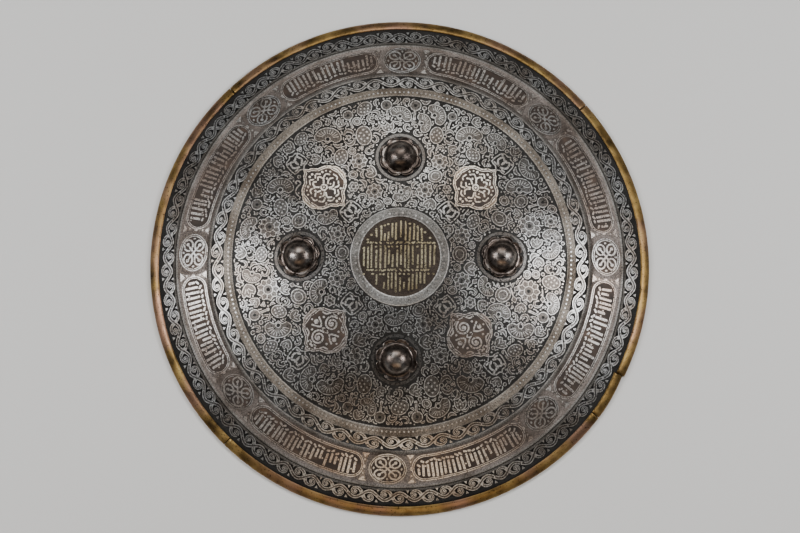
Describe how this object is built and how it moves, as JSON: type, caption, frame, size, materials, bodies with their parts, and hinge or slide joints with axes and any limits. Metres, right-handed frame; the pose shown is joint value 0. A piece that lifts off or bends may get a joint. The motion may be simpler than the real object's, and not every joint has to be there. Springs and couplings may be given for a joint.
{
  "type": "round shield",
  "caption": "Round dished steel parade shield with engraved bands and panels, lobed domed bosses and a brass-bound rim, lying dome up.",
  "frame": {"origin": "on the ground plane that the rim rests on, under the middle of the dome", "axes": "+Z out of the top of the dome, +X and +Y through the bosses on the right and at the top as the shield is shown"},
  "size_m": [0.4598, 0.4598, 0.0691],
  "materials": {
    "etched_steel": "etched and darkened ground, worn bright on the raised ornament",
    "boss_steel": "brown-black polished steel with fine radial lines",
    "rim_brass": "aged, scratched brass, uneven by hand"
  },
  "bodies": {
    "root": {"bowl": "etched_steel", "boss_east": "boss_steel", "boss_north": "boss_steel", "boss_west": "boss_steel", "boss_south": "boss_steel", "rim_binding_east": "rim_brass", "rim_binding_north": "rim_brass", "rim_binding_west": "rim_brass", "rim_binding_south": "rim_brass", "rim_binding_repair": "rim_brass"}
  },
  "joints": []
}
